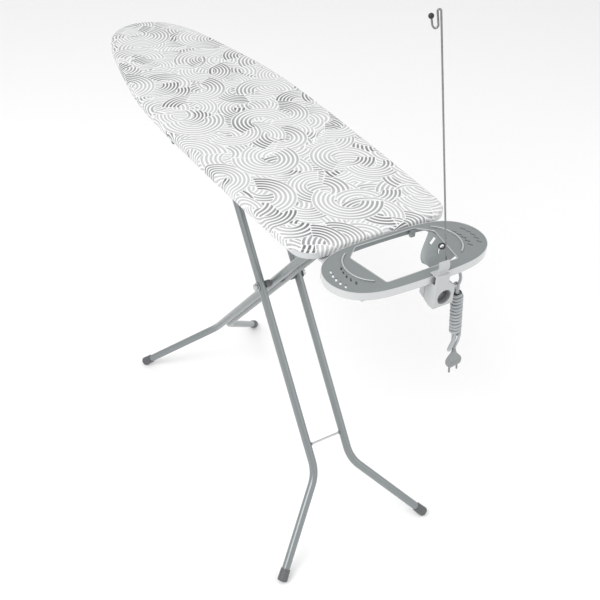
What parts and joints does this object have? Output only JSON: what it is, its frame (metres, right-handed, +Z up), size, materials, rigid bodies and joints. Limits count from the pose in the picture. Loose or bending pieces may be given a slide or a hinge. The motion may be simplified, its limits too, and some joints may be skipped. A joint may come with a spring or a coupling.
{
  "type": "ironing board",
  "caption": "Folding ironing board with a padded pointed top, crossed tube legs, an iron rest, a clamp-on socket with its cord, and an upright cord holder.",
  "frame": {"origin": "middle of the floor rectangle under the whole board, on the floor", "axes": "+X from the nose towards the iron rest, +Y across the board, +Z up"},
  "size_m": [1.366, 0.4426, 1.3981],
  "materials": {
    "cover_fabric": "printed cotton",
    "foam": "soft foam",
    "galvanised": "zinc plated",
    "white_steel": "satin grey paint",
    "grey_steel": "satin grey paint",
    "dark_plastic": "matt",
    "tray_plastic": "satin moulded",
    "trim_silver": "bright silver",
    "socket_plastic": "satin moulded",
    "socket_grey": "satin moulded",
    "brass": "plated",
    "cord_grey": "pvc sheath",
    "plug_grey": "moulded"
  },
  "bodies": {
    "board": {"cover": "cover_fabric", "foam_pad": "foam", "mesh_top": "galvanised", "board_rim": "white_steel", "cross_braces": "white_steel", "rail_left": "white_steel", "rail_right": "white_steel", "height_rack_left": "galvanised", "height_rack_right": "galvanised", "hinge_bracket": "white_steel", "lever_bearings": "dark_plastic", "iron_rest_tray": "tray_plastic", "rest_trim": "trim_silver", "rest_wing_left": "tray_plastic", "rest_wing_right": "tray_plastic", "rest_arm_left": "grey_steel", "rest_arm_right": "grey_steel", "rest_cross_plates": "galvanised", "rest_screws": "galvanised", "socket_housing": "socket_plastic", "socket_back": "socket_plastic", "socket_insert": "socket_grey", "socket_contacts": "brass", "clamp_pad": "dark_plastic", "rod_clip": "socket_plastic", "cord_gland": "cord_grey", "cord_lead": "cord_grey", "cord_hank": "cord_grey", "hank_tie": "dark_plastic", "cord_tail": "cord_grey", "plug_body": "plug_grey", "plug_pins": "galvanised"},
    "leg_a": {"leg_a_tube_left": "grey_steel", "leg_a_tube_right": "grey_steel", "leg_a_foot_left": "dark_plastic", "leg_a_foot_right": "dark_plastic", "leg_a_ear_left": "grey_steel", "leg_a_ear_right": "grey_steel", "leg_a_axle": "galvanised", "axle_clips": "galvanised", "leg_a_spacer": "dark_plastic", "pivot_bolt": "galvanised", "pivot_nut": "galvanised", "pivot_spacers": "dark_plastic", "pivot_washers": "dark_plastic"},
    "leg_b": {"leg_b_tube_left": "grey_steel", "leg_b_tube_right": "grey_steel", "leg_b_foot_left": "dark_plastic", "leg_b_foot_right": "dark_plastic", "leg_b_top_bar": "galvanised", "leg_b_cross_rod": "galvanised", "slide_rollers": "dark_plastic"},
    "lever": {"release_lever": "galvanised", "lever_grip": "dark_plastic", "lock_hooks": "galvanised"},
    "cord_holder": {"antenna_rod": "galvanised", "antenna_ball": "dark_plastic", "antenna_eyelet": "galvanised"}
  },
  "joints": [
    {"name": "leg_a_fold", "type": "hinge", "parent": "board", "child": "leg_a", "pos_m": [0.37554, 0, 0.891], "axis": [0, 1, 0], "range_deg": [0, 50]},
    {"name": "leg_b_scissor", "type": "hinge", "parent": "leg_a", "child": "leg_b", "pos_m": [0.14, 0, 0.568], "axis": [0, 1, 0], "range_deg": [-100, 0]},
    {"name": "release_lever_turn", "type": "hinge", "parent": "board", "child": "lever", "pos_m": [-0.04954, 0, 0.897], "axis": [0, 1, 0], "range_deg": [0, 12], "stiffness_Nm_per_rad": 0.6, "springref_deg": -17.19},
    {"name": "cord_holder_swivel", "type": "hinge", "parent": "board", "child": "cord_holder", "pos_m": [0.6725, 0.0312, 0.9285], "axis": [-0.0803, -0.1274, 0.9886], "range_deg": [-90, 90]}
  ],
  "couplings": [
    {"joint": "leg_b_scissor", "follows": "leg_a_fold", "ratio": -2}
  ]
}
